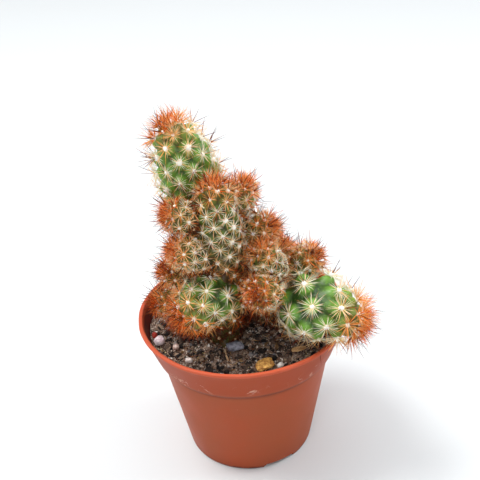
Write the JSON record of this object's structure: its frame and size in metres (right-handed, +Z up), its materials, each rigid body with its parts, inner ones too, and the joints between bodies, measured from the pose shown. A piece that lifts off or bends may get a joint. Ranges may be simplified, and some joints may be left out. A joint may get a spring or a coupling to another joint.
{
  "type": "potted clump-forming cactus",
  "caption": "Spiny clump-forming cactus with a leaning tall stem and low trailing stems and offsets, growing in gritty soil in a small round terracotta-coloured plastic nursery pot.",
  "frame": {"origin": "middle of the whole plant's bounding box, at the bottom, on the surface that the pot stands on", "axes": "+Z up along the pot's axis; +X to the side that the trailing stem leans out to, the front (-Y) being the side it is mostly seen from; +Y to the back"},
  "size_m": [0.087, 0.085, 0.1452],
  "materials": {
    "pot_plastic": "satin moulded terracotta-coloured plastic, lime-marked",
    "soil": "matte crumbly potting soil with grit",
    "cactus_skin": "satin waxy plant skin with tubercles",
    "spines": "matte needle spines, ivory to orange brown",
    "wool": "matte woolly spine cushions",
    "grey_stone": "matte",
    "bark": "matte",
    "quartz": "satin",
    "brick": "matte",
    "perlite": "matte",
    "husk": "matte",
    "straw": "matte"
  },
  "bodies": {
    "root": {"pot": "pot_plastic", "soil": "soil", "stem_tall": "cactus_skin", "stem_middle": "cactus_skin", "stem_front": "cactus_skin", "stem_trailing_right": "cactus_skin", "stem_right_back": "cactus_skin", "stem_right_middle": "cactus_skin", "stem_right_front": "cactus_skin", "stem_left": "cactus_skin", "stem_left_low": "cactus_skin", "stem_back_left": "cactus_skin", "stem_back_right": "cactus_skin", "offset_crown": "cactus_skin", "offset_left_upper": "cactus_skin", "offset_left_middle": "cactus_skin", "offset_right_upper": "cactus_skin", "offset_right_small": "cactus_skin", "stone_grey": "grey_stone", "bark_chip": "bark", "quartz_left": "quartz", "quartz_small": "quartz", "brick_bit": "brick", "perlite_front": "perlite", "perlite_right": "perlite", "husk": "husk", "straw": "straw"}
  },
  "joints": []
}
